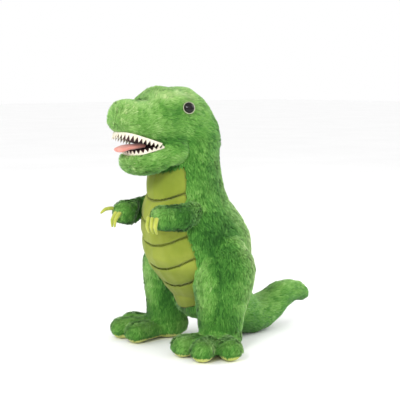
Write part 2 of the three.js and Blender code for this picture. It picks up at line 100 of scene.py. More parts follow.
def node_arrays(nodes):
    """Corners and triangles of some CAD nodes together."""
    points, faces, start = [], [], 0
    for node in nodes:
        mesh = frame["nodes"][node].data
        mesh.calc_loop_triangles()
        co = np.empty(3 * len(mesh.vertices))
        mesh.vertices.foreach_get("co", co)
        tri = np.empty(3 * len(mesh.loop_triangles), np.int32)
        mesh.loop_triangles.foreach_get("vertices", tri)
        points.append(co.reshape(-1, 3))
        faces.append(tri.reshape(-1, 3) + start)
        start += len(mesh.vertices)
    return np.concatenate(points), np.concatenate(faces)


def node_centre(node):
    low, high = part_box(node)
    return np.array((low + high) / 2)


def mesh_of(name, points, faces):
    mesh = bpy.data.meshes.new(name)
    mesh.from_pydata([tuple(p) for p in points], [], [tuple(f) for f in faces])
    mesh.update()
    return mesh


def ellipsoid(centre, radii):
    """Corners and triangles of a round filler, which closes a gap between two nodes."""
    ball = bmesh.new()
    bmesh.ops.create_icosphere(ball, subdivisions=3, radius=1)
    points = np.array([v.co for v in ball.verts]) * np.array(radii) + np.array(centre)
    faces = np.array([[v.index for v in f.verts] for f in ball.faces])
    ball.free()
    return points, faces


def triangles_of(mesh):
    mesh.calc_loop_triangles()
    points = np.empty(3 * len(mesh.vertices))
    mesh.vertices.foreach_get("co", points)
    faces = np.empty(3 * len(mesh.loop_triangles), np.int32)
    mesh.loop_triangles.foreach_get("vertices", faces)
    return points.reshape(-1, 3), faces.reshape(-1, 3)


def outer_shell(points, faces):
    """The connected part of a mesh with the largest box, which leaves the hollows inside it out."""
    label = np.arange(len(points))
    while True:
        lowest = label[faces].min(axis=1)
        before = label.copy()
        for corner in range(3):
            np.minimum.at(label, faces[:, corner], lowest)
        label = label[label]
        if (label == before).all():
            break
    kinds = np.unique(label)
    spans = [np.ptp(points[label == kind], axis=0).sum() for kind in kinds]
    kept = label == kinds[int(np.argmax(spans))]
    index = np.cumsum(kept) - 1
    return points[kept], index[faces[kept[faces[:, 0]]]]


def remeshed(parts, voxel):
    """One even skin around some closed parts, with gaps under a voxel or so closed."""
    points = np.concatenate([p for p, _ in parts])
    starts = np.cumsum([0] + [len(p) for p, _ in parts])
    faces = np.concatenate([f + s for (_, f), s in zip(parts, starts)])
    work = bpy.data.objects.new("work", mesh_of("work", points, faces))
    bpy.context.scene.collection.objects.link(work)
    voxels = work.modifiers.new("voxels", "REMESH")
    voxels.mode = "VOXEL"
    voxels.voxel_size = voxel
    graph = bpy.context.evaluated_depsgraph_get()
    mesh = bpy.data.meshes.new_from_object(work.evaluated_get(graph))
    result = outer_shell(*triangles_of(mesh))
    bpy.data.objects.remove(work)
    bpy.data.meshes.remove(mesh)
    return result


def smoothed(points, faces, rounds, strength=0.5):
    """Evens a skin out without shrinking it much: each inward step has a slightly larger outward one."""
    edges = np.concatenate([faces[:, [0, 1]], faces[:, [1, 2]], faces[:, [2, 0]]])
    count = np.bincount(edges[:, 0], minlength=len(points))[:, None]
    for step in range(2 * rounds):
        total = np.zeros_like(points)
        np.add.at(total, edges[:, 0], points[edges[:, 1]])
        move = total / np.maximum(count, 1) - points
        points = points + (strength if step % 2 == 0 else -0.97 * strength) * move
    return points


def corner_normals(points, faces):
    sides = points[faces]
    flat = np.cross(sides[:, 1] - sides[:, 0], sides[:, 2] - sides[:, 0])
    normals = np.zeros_like(points)
    for corner in range(3):
        np.add.at(normals, faces[:, corner], flat)
    return normals / np.maximum(np.linalg.norm(normals, axis=1, keepdims=True), 1e-12)


def unit(vectors):
    return vectors / np.maximum(np.linalg.norm(vectors, axis=1, keepdims=True), 1e-12)


def near(points, centre, radii):
    """1 at a centre, falling smoothly to 0 over the radii."""
    away = (points - np.array(centre)) / np.array(radii)
    return np.exp(-(away**2).sum(axis=1))


def ramp(values, low, high):
    share = np.clip((values - low) / (high - low), 0, 1)
    return share * share * (3 - 2 * share)


def fall(values, low, high):
    """1 below the low value, falling smoothly to 0 above the high one."""
    return ramp(-values, -high, -low)


def ripples(points, size, seed):
    """A smooth field of about -1 to 1 that varies over the given size."""
    chance = np.random.default_rng(seed)
    total = np.zeros(len(points))
    waves = 7
    for _ in range(waves):
        way = unit(chance.normal(size=(1, 3)))[0] * 2 * math.pi / size * chance.uniform(0.6, 1.4)
        total += np.sin(points @ way + chance.uniform(0, 2 * math.pi))
    return total / math.sqrt(waves)


# ---------------------------------------------------------------- stuffed skins


def puffed(points, faces, cap):
    """The skin as its filling pushes it out: a cloth under pressure, kept within a cap of where it was."""
    scene = bpy.context.scene
    normals = corner_normals(points, faces)
    work = bpy.data.objects.new("work", mesh_of("work", points - 0.4 * cap * normals, faces))
    scene.collection.objects.link(work)
    cloth = work.modifiers.new("cloth", "CLOTH")
    cloth.settings.use_pressure = True
    cloth.settings.uniform_pressure_force = PUFF_PRESSURE
    cloth.settings.effector_weights.gravity = 0
    cloth.settings.quality = 4
    cloth.collision_settings.use_collision = False
    cloth.point_cache.frame_end = PUFF_FRAMES
    for number in range(1, PUFF_FRAMES + 1):
        scene.frame_set(number)
    graph = bpy.context.evaluated_depsgraph_get()
    mesh = bpy.data.meshes.new_from_object(work.evaluated_get(graph))
    swollen, _ = triangles_of(mesh)
    scene.frame_set(1)
    bpy.data.objects.remove(work)
    bpy.data.meshes.remove(mesh)
    move = swollen - points
    size = np.linalg.norm(move, axis=1, keepdims=True)
    return points + move * np.minimum(1, cap / np.maximum(size, 1e-9))


def skin_of(nodes, fillers=(), voxel=3 * MM, rounds=5, cap=1.5 * MM, inset=PILE_STANDS):
    """The backing of the fur around some CAD nodes, set in by as much as the pile stands up."""
    parts = [node_arrays(nodes)] + [ellipsoid(*filler) for filler in fillers]
    points, faces = remeshed(parts, voxel)
    points = smoothed(points, faces, rounds)
    lifted = ramp(points[:, 2], 4 * MM, 40 * MM)[:, None]  # the pile is worn flat where the toy stands
    points = points - inset * lifted * corner_normals(points, faces)
    points = smoothed(puffed(points, faces, cap), faces, 1)
    return points, faces


def swell(skin, centre, radii, amount):
    """Pushes a skin out, or in where the amount is negative, around a point."""
    points, faces = skin
    push = near(points, centre, radii)[:, None] * amount
    return points + push * corner_normals(points, faces), faces


# ---------------------------------------------------------------- materials

PILE_UV = "OFBake"  # across: how light the fur is here; up: from the root of the pile to its tip


def new_material(name, roughness, sheen=0.0, tint=(1, 1, 1)):
    material = bpy.data.materials.new(name)
    material.use_nodes = True
    shader = material.node_tree.nodes["Principled BSDF"]
    shader.inputs["Roughness"].default_value = roughness
    shader.inputs["Sheen Weight"].default_value = sheen
    shader.inputs["Sheen Roughness"].default_value = 0.5
    shader.inputs["Sheen Tint"].default_value = (*tint, 1)
    shader.inputs["Specular IOR Level"].default_value = 0.2
    return material, material.node_tree, shader


def linear(red, green, blue):
    """A colour given as the eye sees it, from 0 to 255, as the shader wants it."""
    return tuple((value / 255) ** 2.2 for value in (red, green, blue)) + (1,)


def colour_ramp(tree, stops):
    ramp_node = tree.nodes.new("ShaderNodeValToRGB")
    elements = ramp_node.color_ramp.elements
    while len(elements) > 1:
        elements.remove(elements[0])
    elements[0].position, elements[0].color = stops[0]
    for position, colour in stops[1:]:
        elements.new(position).color = colour
    return ramp_node


def pile_material(name, tones, sheen, tint):
    """Fur: its tone comes from the first coordinate and its depth in the pile from the second, which paints
    shade darker towards the roots.
    """
    material, tree, shader = new_material(name, 0.85, sheen, tint)
    place = tree.nodes.new("ShaderNodeUVMap")
    place.uv_map = PILE_UV
    split = tree.nodes.new("ShaderNodeSeparateXYZ")
    tone = colour_ramp(tree, tones)
    # painted shade deep in the pile: darker towards the roots
    depth = colour_ramp(tree, [(0.0, (0.3, 0.42, 0.3, 1)), (0.45, (0.8, 0.86, 0.8, 1)), (1.0, (1, 1, 1, 1))])
    mix = tree.nodes.new("ShaderNodeMix")
    mix.data_type = "RGBA"
    mix.blend_type = "MULTIPLY"
    mix.inputs["Factor"].default_value = 1
    link = tree.links.new
    link(place.outputs["UV"], split.inputs[0])
    link(split.outputs["X"], tone.inputs["Fac"])
    link(split.outputs["Y"], depth.inputs["Fac"])
    link(tone.outputs["Color"], mix.inputs[6])
    link(depth.outputs["Color"], mix.inputs[7])
    link(mix.outputs[2], shader.inputs["Base Color"])
    return material


def noise(tree, scale, detail=3.0, stretch=(1, 1, 1)):
    place = tree.nodes.new("ShaderNodeTexCoord")
    mapping = tree.nodes.new("ShaderNodeMapping")
    mapping.inputs["Scale"].default_value = stretch
    texture = tree.nodes.new("ShaderNodeTexNoise")
    texture.inputs["Scale"].default_value = scale
    texture.inputs["Detail"].default_value = detail
    tree.links.new(place.outputs["Object"], mapping.inputs["Vector"])
    tree.links.new(mapping.outputs["Vector"], texture.inputs["Vector"])
    return texture


def shaded_by_height(tree, colour, stops):
    """A colour multiplied by painted shade that changes with height above the floor."""
    place = tree.nodes.new("ShaderNodeTexCoord")
    split = tree.nodes.new("ShaderNodeSeparateXYZ")
    reach = tree.nodes.new("ShaderNodeMapRange")
    reach.inputs["From Max"].default_value = 0.32
    shade = colour_ramp(tree, stops)
    mix = tree.nodes.new("ShaderNodeMix")
    mix.data_type = "RGBA"
    mix.blend_type = "MULTIPLY"
    mix.inputs["Factor"].default_value = 1
    tree.links.new(place.outputs["Object"], split.inputs[0])
    tree.links.new(split.outputs["Z"], reach.inputs["Value"])
    tree.links.new(reach.outputs["Result"], shade.inputs["Fac"])
    tree.links.new(colour, mix.inputs[6])
    tree.links.new(shade.outputs["Color"], mix.inputs[7])
    return mix.outputs[2]


def cloth_material(name, tones, grain, height, patch=35, sheen=0.3, tint=(1, 1, 1), shade=None):
    """Velour or felt: soft patches of tone, and a fine grain in relief."""
    material, tree, shader = new_material(name, 0.9, sheen, tint)
    patches = noise(tree, patch)
    tone = colour_ramp(tree, tones)
    fine = noise(tree, grain, 2.0)
    bump = tree.nodes.new("ShaderNodeBump")
    bump.inputs["Strength"].default_value = 0.6
    bump.inputs["Distance"].default_value = height
    link = tree.links.new
    link(patches.outputs["Fac"], tone.inputs["Fac"])
    colour = tone.outputs["Color"]
    # painted shade that changes with height, where one is given
    if shade:
        colour = shaded_by_height(tree, colour, shade)
    link(colour, shader.inputs["Base Color"])
    link(fine.outputs["Fac"], bump.inputs["Height"])
    link(bump.outputs["Normal"], shader.inputs["Normal"])
    return material


def gloss_material(name, colour, roughness, coat):
    material, tree, shader = new_material(name, roughness)
    shader.inputs["Specular IOR Level"].default_value = 0.02
    shader.inputs["Coat Weight"].default_value = coat
    shader.inputs["Coat Roughness"].default_value = 0.03
    cloud = noise(tree, 60)
    shade = tuple(0.7 * value for value in colour[:3]) + (1,)
    tone = colour_ramp(tree, [(0.3, shade), (0.7, colour)])
    tree.links.new(cloud.outputs["Fac"], tone.inputs["Fac"])
    tree.links.new(tone.outputs["Color"], shader.inputs["Base Color"])
    return material


FUR = pile_material(
    "fur",
    [
        (0.0, linear(44, 94, 34)),
        (0.3, linear(80, 141, 55)),
        (0.55, linear(120, 174, 80)),
        (0.8, linear(160, 202, 116)),
        (1.0, linear(202, 222, 154)),
    ],
    0.25,
    (0.8, 1, 0.75),
)
def two_tones(dark, light, spread=0.2):
    """Stops of a colour ramp that goes from one tone to another around the middle of a noise."""
    return [(0.5 - spread, linear(*dark)), (0.5 + spread, linear(*light))]


# painted shade on the belly: darker near the floor and under the chin
BELLY_SHADE = [
    (0.15, (0.55, 0.58, 0.6, 1)),
    (0.35, (0.9, 0.9, 0.9, 1)),
    (0.48, (0.88, 0.88, 0.88, 1)),
    (0.6, (1, 1, 1, 1)),
    (0.72, (0.7, 0.76, 0.7, 1)),
]
VELOUR = cloth_material(
    "belly_velour",
    two_tones((124, 138, 49), (142, 153, 62), 0.15),
    grain=1400,
    height=0.25 * MM,
    patch=25,
    sheen=0.2,
    tint=(0.95, 1, 0.6),
    shade=BELLY_SHADE,
)
SOLE = cloth_material(
    "sole_velour",
    two_tones((176, 186, 92), (200, 204, 120), 0.15),
    grain=1400,
    height=0.3 * MM,
    patch=40,
    tint=(1, 1, 0.7),
)
CLAW = cloth_material("claw_felt", two_tones((146, 158, 60), (176, 182, 82)), 1100, 0.2 * MM, 120)
TOOTH = cloth_material("tooth_felt", two_tones((200, 192, 170), (226, 220, 202)), 1200, 0.15 * MM, 150)
TONGUE = cloth_material("tongue_felt", two_tones((196, 120, 110), (214, 152, 138)), 1100, 0.2 * MM, 80)
LINING = cloth_material("mouth_lining", two_tones((52, 18, 20), (88, 34, 34)), 1200, 0.2 * MM, 60, 0.1)
EYE = gloss_material("eye_plastic", (0.004, 0.003, 0.003, 1), 0.2, 0.6)
RING = gloss_material("eye_ring_plastic", linear(186, 192, 160), 0.3, 0.4)


# ---------------------------------------------------------------- pieces


def piece(name, mesh, material, smooth=True):
    """An object of one material."""
    mesh.materials.append(material)
    made = bpy.data.objects.new(name, mesh)
    bpy.context.scene.collection.objects.link(made)
    if smooth:
        mesh.shade_smooth()
    return made


def roots_on(skin, chosen, fold, spacing, chance):
    """Points spread evenly by area over the chosen triangles, with the skin's normal at each."""
    points, faces = skin
    normals = corner_normals(points, faces)
    used = faces[chosen]
    sides = points[used]
    area = np.linalg.norm(np.cross(sides[:, 1] - sides[:, 0], sides[:, 2] - sides[:, 0]), axis=1) / 2
    count = int(area.sum() / spacing**2)
    picked = chance.choice(len(used), count, p=area / area.sum())
    share = chance.dirichlet((1, 1, 1), count)
    at = (points[used[picked]] * share[:, :, None]).sum(axis=1)
    out = (normals[used[picked]] * share[:, :, None]).sum(axis=1)
    return at, unit(out), (fold[used[picked]] * share).sum(axis=1)


def clumped(roots, tips, size, pull, chance):
    """Draws the tips of neighbouring strands together, as the pile of fur fabric gathers."""
    jitter = chance.uniform(-0.15, 0.15, roots.shape) * size
    cells = np.floor((roots + jitter) / size).astype(np.int64)
    key = cells @ np.array([1, 4096, 4096**2])
    _, group = np.unique(key, return_inverse=True)
    group = group.reshape(-1)
    count = np.bincount(group)
    for axis in range(3):
        mean = np.bincount(group, tips[:, axis])[group] / count[group]
        tips[:, axis] += pull * (mean - tips[:, axis])
    return tips, group


def combed(roots, out, comb, seed, chance):
    """Which way each strand lies: as the pile is combed, with a slow swirl and some scatter."""
    swirl = np.stack([ripples(roots, SWIRL, seed + k) for k in range(3)], axis=1)
    way = unit(comb(roots, out)) + 0.35 * swirl + chance.normal(0, 0.22, (len(roots), 3))
    return unit(way - (way * out).sum(axis=1, keepdims=True) * out)


def blades(base, middle, tips, half):
    """Corners and faces of flat tapered blades, each bent over once. The faces look outwards."""
    narrow = 0.8 * half
    rows = [base - half, base + half, middle + narrow, middle - narrow, tips]
    first = 5 * np.arange(len(base))[:, None]
    faces = np.concatenate([first + [0, 2, 1], first + [0, 3, 2], first + [3, 4, 2]], axis=1)
    return np.stack(rows, axis=1).reshape(-1, 3), faces.reshape(-1, 3)


def strands(skin, chosen, fold, comb, tone, seed, length, spacing, width):
    """Corners, faces, tone, depth and normals of the pile on the chosen part of a skin."""
    chance = np.random.default_rng(seed)
    roots, out, shaded = roots_on(skin, chosen, fold, spacing, chance)
    count = len(roots)
    way = combed(roots, out, comb, seed, chance)
    long = length(roots, out) if callable(length) else np.full(count, length)
    long = (long * chance.uniform(0.7, 1.15, count))[:, None]
    middle = roots + 0.5 * long * (0.78 * way + 0.62 * out)
    tips = roots + long * (LAY * way + math.sqrt(1 - LAY**2) * out)
    tips, group = clumped(roots, tips, TUFT, 0.42, chance)
    tips, _ = clumped(roots, tips, WISP, 0.3, chance)
    shift = chance.normal(0, 1, group.max() + 1)[group]
    across = unit(np.cross(out, way) + 0.35 * out * chance.normal(0, 1, (count, 1)))
    half = 0.5 * width * chance.uniform(0.75, 1.25, (count, 1))
    base = roots - 0.5 * MM * out
    for spots in (base, middle, tips):
        spots[:, 2] = np.maximum(spots[:, 2], FLOOR_GAP)
    corners, faces = blades(base, middle, tips, half * across)
    # painted shade in folds, and a random tone for each blade and each tuft
    light = tone(roots, out) - FOLD_SHADE * shaded
    light += BLADE_SHADE * chance.normal(0, 1, count) + TUFT_SHADE * shift
    spread = 0.01 * np.array([-1, 1, 1, -1, 0])  # the tones of a blade's corners have to differ a little
    tones = (np.clip(light, *TONE_LIMITS)[:, None] + spread).ravel()
    # depth along each blade, which the material paints darker towards the root
    depths = np.tile([0.05, 0.05, 0.55, 0.55, 1.0], count)
    normals = np.repeat(unit(out + 0.25 * way * chance.normal(0, 1, (count, 1))), 5, axis=0)
    return corners, faces, tones, depths, normals


def hollows(points, faces):
    """1 where a skin folds inwards, as between two toes, and 0 where it is flat or round."""
    even = smoothed(points, faces, 6) - points
    depth = (even * corner_normals(points, faces)).sum(axis=1)
    return np.clip(depth / (0.5 * MM), 0, 1)


def furred(name, skin, chosen, comb, tone, seed, length=PILE, spacing=1.05 * MM, width=1.0 * MM):
    """A patch of skin with its pile on it, as one mesh."""
    points, faces = skin
    used, index = np.unique(faces[chosen], return_inverse=True)
    index = index.reshape(-1, 3)
    own = corner_normals(points, faces)[used]
    # where the skin folds inwards, for painted shade
    fold = hollows(points, faces)
    pile = strands(skin, chosen, fold, comb, tone, seed, length, spacing, width)
    corners, pile_faces, tones, depths, normals = pile
    all_points = np.concatenate([points[used], corners])
    all_faces = np.concatenate([index, pile_faces + len(used)])
    # the backing's tone, with painted shade in its folds
    backing_tone = np.clip(tone(points[used], own) - FOLD_SHADE * fold[used], *TONE_LIMITS)
    across = np.concatenate([backing_tone, tones])
    # the backing lies deep in the pile, so the material paints it in shade
    up = np.concatenate([np.full(len(used), 0.3), depths])
    mesh = bpy.data.meshes.new(name)
    mesh.vertices.add(len(all_points))
    mesh.vertices.foreach_set("co", all_points.astype(np.float32).ravel())
    mesh.loops.add(all_faces.size)
    mesh.loops.foreach_set("vertex_index", all_faces.astype(np.int32).ravel())
    mesh.polygons.add(len(all_faces))
    mesh.polygons.foreach_set("loop_start", np.arange(0, all_faces.size, 3, dtype=np.int32))
    mesh.update(calc_edges=True)
    uv = mesh.uv_layers.new(name=PILE_UV)
    uv.data.foreach_set("uv", np.stack([across, up], axis=1)[all_faces.ravel()].astype(np.float32).ravel())
    mesh.shade_smooth()
    mesh.normals_split_custom_set_from_vertices(np.concatenate([own, normals]).tolist())
    return piece(name, mesh, FUR, smooth=False)


def fine_copy(name, nodes, voxel, rounds, material, grow=0.0, rise=0.0):
    """A smoother copy of small felt or velour pieces, with rounded edges."""
    points, faces = remeshed([node_arrays(nodes)], voxel)
    points = smoothed(points, faces, rounds)
    points = points + grow * corner_normals(points, faces) + np.array([0, 0, rise])
    return piece(name, mesh_of(name, points, faces), material)


def flat_normals(skin):
    sides = skin[0][skin[1]]
    return unit(np.cross(sides[:, 1] - sides[:, 0], sides[:, 2] - sides[:, 0]))


def bare_part(name, skin, chosen, material, body=None):
    """A patch of a skin without pile, such as cloth or velour sewn into it."""
    points, faces = skin
    used, index = np.unique(faces[chosen], return_inverse=True)
    made = piece(name, mesh_of(name, points[used], index.reshape(-1, 3)), material)
    if body:
        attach(made, body)
    return made


def across_neck(made):
    """Bakes the placement of cloth that crosses the neck into its mesh."""
    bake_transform(made)


def centres(skin):
    points, faces = skin
    return points[faces].mean(axis=1)


# ---------------------------------------------------------------- eyes


def eye_axis(side):
    """Centre of an eye's seat and its way out, from the ring around it."""
    points, _ = node_arrays([f"eye_ring_{side}"])
    middle = points.mean(axis=0)
    _, _, ways = np.linalg.svd(points - middle)
    out = ways[2]
    outwards = np.sign(out[0]) * np.sign(middle[0])
    return middle, out * outwards


def turned_mesh(name, profile, centre, axis, around=48):
    """A mesh turned about an axis from [radius, height] pairs."""
    turn = Vector(axis).to_track_quat("Z", "Y").to_matrix()
    points, faces = [], []
    for radius, height in profile:
        for k in range(around):
            angle = 2 * math.pi * k / around
            spot = turn @ Vector((radius * math.cos(angle), radius * math.sin(angle), height))
            points.append(tuple(spot + Vector(centre)))
    for row in range(len(profile) - 1):
        for k in range(around):
            after = (k + 1) % around
            a, b = row * around, (row + 1) * around
            faces.append((a + k, a + after, b + after, b + k))
    mesh = bpy.data.meshes.new(name)
    mesh.from_pydata(points, [], faces)
    built = bmesh.new()
    built.from_mesh(mesh)
    bmesh.ops.remove_doubles(built, verts=built.verts, dist=1e-6)
    bmesh.ops.recalc_face_normals(built, faces=built.faces)
    built.to_mesh(mesh)
    built.free()
    return mesh


EYE_RADIUS = 6.5 * MM
EYE_DOME = 4.2 * MM
EYE_SUNK = 2 * MM  # how far an eye's edge goes down into the fur
RING_WIDTH = 1.0 * MM


def make_eyes():
    for _, side in SIDES:
        centre, out = eye_axis(side)
        dome = []
        for k in range(DOME_STEPS + 1):
            angle = math.pi / 2 * k / DOME_STEPS
            dome.append((EYE_RADIUS * math.sin(angle), EYE_DOME * math.cos(angle)))
        profile = dome + [(EYE_RADIUS, -EYE_SUNK), (0, -EYE_SUNK)]
        eye = piece(f"eye_dome_{side}", turned_mesh("eye", profile, centre, out), EYE)
        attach(eye, "head")
        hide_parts(f"eye_{side}", f"eye_washer_{side}")
        ring_profile = []
        for k in range(DOME_STEPS + 1):
            angle = 2 * math.pi * k / DOME_STEPS
            radius = EYE_RADIUS + RING_WIDTH / 2 + 0.5 * RING_WIDTH * math.cos(angle)
            ring_profile.append((radius, 0.4 * MM + 0.9 * MM * math.sin(angle)))
        ring = piece(f"eye_rim_{side}", turned_mesh("ring", ring_profile, centre, out), RING)
        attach(ring, "head")
        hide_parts(f"eye_ring_{side}")


# ---------------------------------------------------------------- fur parts

DOWN = np.array([0.0, 0.0, -1.0])


def downwards(points, out):
    return np.tile(DOWN, (len(points), 1))


def away_from(origin, lean):
    """A comb that runs away from a point and leans a given way."""

    def comb(points, out):
        return unit(points - np.array(origin)) + np.array(lean)

    return comb


def lit_from_above(out):
    return 0.16 * out[:, 2]


def torso_tone(points, out):
    behind = ramp(points[:, 1], NECK[1], NECK[1] + 80 * MM)
    flank = NECK + mm(0, 26, -78)
    # painted light: fur that faces backwards or up is lighter
    tone = 0.45 + 0.08 * behind + 0.24 * ramp(out[:, 1], 0.1, 0.9) + lit_from_above(out)
    # painted shade under the head: darker up towards the neck
    tone -= 0.12 * ramp(points[:, 2], NECK[2] - 50 * MM, NECK[2])
    tone += 0.18 * fall(points[:, 2], NECK[2] - 110 * MM, NECK[2] - 60 * MM) * behind
    tone -= 0.2 * near(points, flank, mm(80, 22, 20))
    for sign, side in SIDES:
        hip = node_centre(f"leg_fur_{side}") + mm(0, -4, 38)
        tone -= 0.34 * near(points, hip, mm(26, 30, 22))
        # painted shade under each arm
        armpit = SHOULDERS[side] + mm(sign * 4, 12, -14)
        tone -= 0.36 * near(points, armpit, mm(28, 28, 28))
    # painted shadow of the chin on the throat
    throat = NECK + mm(0, -34, 14)
    tone -= 0.3 * near(points, throat, mm(50, 24, 20))
    tone += 0.06 * ripples(points, 40 * MM, 5)
    share = ramp(points[:, 2], HEAD_START - 30 * MM, HEAD_START + 4 * MM)
    return tone + share * (head_tone(points, out) - tone)


def leg_tone(sign, side):
    _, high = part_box(f"leg_fur_{side}")
    hip = node_centre(f"leg_fur_{side}") + mm(8 * sign, -12, 0)
    hip[2] = high.z - 30 * MM

    def tone(points, out):
        value = 0.46 + lit_from_above(out) - 0.26 * near(points, hip, mm(30, 22, 30))
        high_up = ramp(points[:, 2], ANKLE, ANKLE + 40 * MM)
        value += 0.2 * high_up * ramp(leg_seam(side) - points[:, 1], 0, 14 * MM)
        value -= 0.1 * high_up * np.exp(-(((points[:, 1] - leg_seam(side) - 8 * MM) / (12 * MM)) ** 2))
        value -= 0.16 * high_up * np.exp(-(((points[:, 1] - leg_seam(side)) / (3.5 * MM)) ** 2))
        # painted light: fur that faces backwards is lighter
        value += 0.34 * ramp(out[:, 1], -0.1, 0.8)
        value -= 0.1 * near(points, (hip[0], hip[1], 42 * MM), mm(60, 60, 12))
        # painted shade near the floor
        value -= 0.12 * fall(points[:, 2], 5 * MM, 13 * MM)
        value -= 0.08 * (1 - high_up)
        # painted shade on the inner side of the leg, which faces the other leg
        value -= 0.34 * ramp(-sign * out[:, 0], 0.1, 0.7) * high_up
        return value + 0.06 * ripples(points, 34 * MM, 7)

    return tone


def head_tone(points, out):
    # painted light: fur that faces up is lighter
    value = 0.52 + 0.13 * ramp(out[:, 2], 0.1, 0.95)
    value -= 0.2 * near(points, NECK + mm(0, 6, 26), mm(90, 24, 26))
    low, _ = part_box("head_fur_left")
    value += 0.14 * fall(points[:, 1], low.y + 12 * MM, low.y + 50 * MM)
    # painted shade at the back of the neck, under the head
    nape = ramp(points[:, 1], NECK[1], NECK[1] + 40 * MM)
    value -= 0.14 * nape * fall(points[:, 2], NECK[2] + 50 * MM, NECK[2] + 80 * MM)
    for sign, side in SIDES:
        eye, _ = eye_axis(side)
        value -= 0.2 * near(points, eye + mm(-4 * sign, -20, -2), mm(14, 15, 11))
        value -= 0.16 * near(points, eye + mm(0, -3, -16), mm(22, 16, 9))
        value += 0.32 * near(points, eye + mm(-12 * sign, -14, 12), mm(18, 26, 9))
        value -= 0.3 * near(points, eye + mm(0, -28, -40), mm(30, 30, 9))
    return value + 0.05 * ripples(points, 26 * MM, 3)


def jaw_tone(points, out):
    low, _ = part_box("jaw_fur")
    value = 0.5 + lit_from_above(out)
    value += 0.2 * fall(points[:, 1], low.y, low.y + 26 * MM) * fall(out[:, 2], -0.2, 0.9)
    value += 0.05 * ripples(points, 24 * MM, 9)
    share = ramp(points[:, 1], JAW_HINGE[1] - 26 * MM, JAW_HINGE[1] + 2 * MM)
    return value + share * (head_tone(points, out) - value)


def arm_tone(side):
    low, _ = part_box(f"arm_fur_{side}")
    elbow = node_centre(f"arm_fur_{side}")

    def tone(points, out):
        value = 0.34 + lit_from_above(out) - 0.3 * near(points, elbow, mm(26, 14, 22))
        value += 0.12 * fall(points[:, 1], low.y, low.y + 20 * MM)
        value += 0.05 * ripples(points, 22 * MM, 13)
        share = ramp(points[:, 1], SHOULDERS[side][1] - 28 * MM, SHOULDERS[side][1] + 4 * MM)
        return value + share * (torso_tone(points, out) - value)

    return tone


def tail_tone(points, out):
    # painted light: the tail is lighter on top, and more so at the top of its root
    value = 0.39 + 0.18 * out[:, 2] + 0.1 * near(points, TAIL_ROOT + mm(0, 20, 20), [20 * MM] * 3)
    return value + 0.06 * ripples(points, 30 * MM, 15)


def owners(skin, groups):
    """For each triangle of a skin, the number of the group of CAD nodes that it lies nearest to."""
    trees = []
    for nodes in groups:
        points, faces = node_arrays(nodes)
        trees.append(BVHTree.FromPolygons(points.tolist(), faces.tolist()))
    nearest = []
    for spot in centres(skin):
        gaps = [tree.find_nearest(spot)[3] for tree in trees]
        nearest.append(gaps.index(min(gaps)))
    return np.array(nearest)


def padded_fur(made, nodes, body=None):
    if body:
        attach(made, body)
    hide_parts(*nodes)


TORSO_NODES = ["body_fur_left", "body_fur_right", "torso_stuffing", "torso_bean_bag"]
HEAD_NODES = ["head_fur_left", "head_fur_right", "head_stuffing"]
LIMB_PARTS = ("leg_fur", "leg_stuffing", "foot_fur", "foot_bean_bag", "sole")
LIMB_NODES = [[f"{part}_{side}" for part in LIMB_PARTS] for _, side in SIDES]


def body_skin():
    """Torso, neck, legs and feet have one skin, so that the seams between them close."""
    over_neck = NECK + mm(0, 0, 30)
    collar = (over_neck, (NECK_RADIUS, NECK_RADIUS, 26 * MM))
    skin = skin_of([*TORSO_NODES, *BELLY, *HEAD_NODES, *LIMB_NODES[0], *LIMB_NODES[1]], [collar], rounds=5)
    skin = swell(skin, over_neck, mm(60, 60, 9), 0.8 * MM)
    for sign, side in SIDES:
        back = NECK + mm(sign * 34, 56, -56)
        skin = swell(skin, back, mm(36, 34, 24), -5 * MM)
        rump = NECK + mm(sign * 40, 72, -108)
        skin = swell(skin, rump, mm(34, 34, 26), 2.5 * MM)
        skin = pinch_leg(skin, side, sign)
    points, faces = skin
    points[:, 2] = np.maximum(points[:, 2], FLOOR_GAP)
    return points, faces


def make_body():
    """Each piece of the torso, legs and feet is a part of their skin."""
    skin = body_skin()
    points, faces = skin
    spots = centres(skin)
    owner = owners(skin, [TORSO_NODES[:2], BELLY, *LIMB_NODES])
    reach = np.hypot(spots[:, 0], spots[:, 1] - NECK[1])
    under_head = (spots[:, 2] > NECK[2]) & (reach > NECK_RADIUS + 1 * MM) & (spots[:, 1] < NECK[1])
    torso = (owner == 0) & (spots[:, 2] < HEAD_START) & ~under_head
    for sign, side in SIDES:
        chosen = torso & (spots[:, 0] * sign >= 0)
        made = furred(f"body_fur_pile_{side}", skin, chosen, downwards, torso_tone, 11 + sign)
        padded_fur(made, [f"body_fur_{side}", *(TORSO_NODES[2:] if sign > 0 else [])])
        across_neck(made)
    backing = (points - 2.2 * MM * corner_normals(points, faces), faces)
    across_neck(bare_part("belly_backing", backing, owner == 1, VELOUR))
    for number, (sign, side) in enumerate(SIDES):
        make_leg(skin, spots, owner == 2 + number, sign, side)


def leg_seam(side):
    """Where the seam down the outside of a thigh lies, from the front."""
    low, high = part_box(f"leg_fur_{side}")
    return 0.5 * (low.y + high.y) - 26 * MM


def pinch_leg(skin, side, sign):
    """Draws the thigh in along its seam."""
    points, faces = skin
    _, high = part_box(f"leg_fur_{side}")
    along = ramp(points[:, 2], ANKLE, ANKLE + 25 * MM) * fall(points[:, 2], high.z - 40 * MM, high.z - 6 * MM)
    outside = ramp(sign * points[:, 0], 40 * MM, 60 * MM)
    line = np.exp(-(((points[:, 1] - leg_seam(side)) / (4 * MM)) ** 2))
    return points - (3.5 * MM * along * outside * line)[:, None] * corner_normals(points, faces), faces


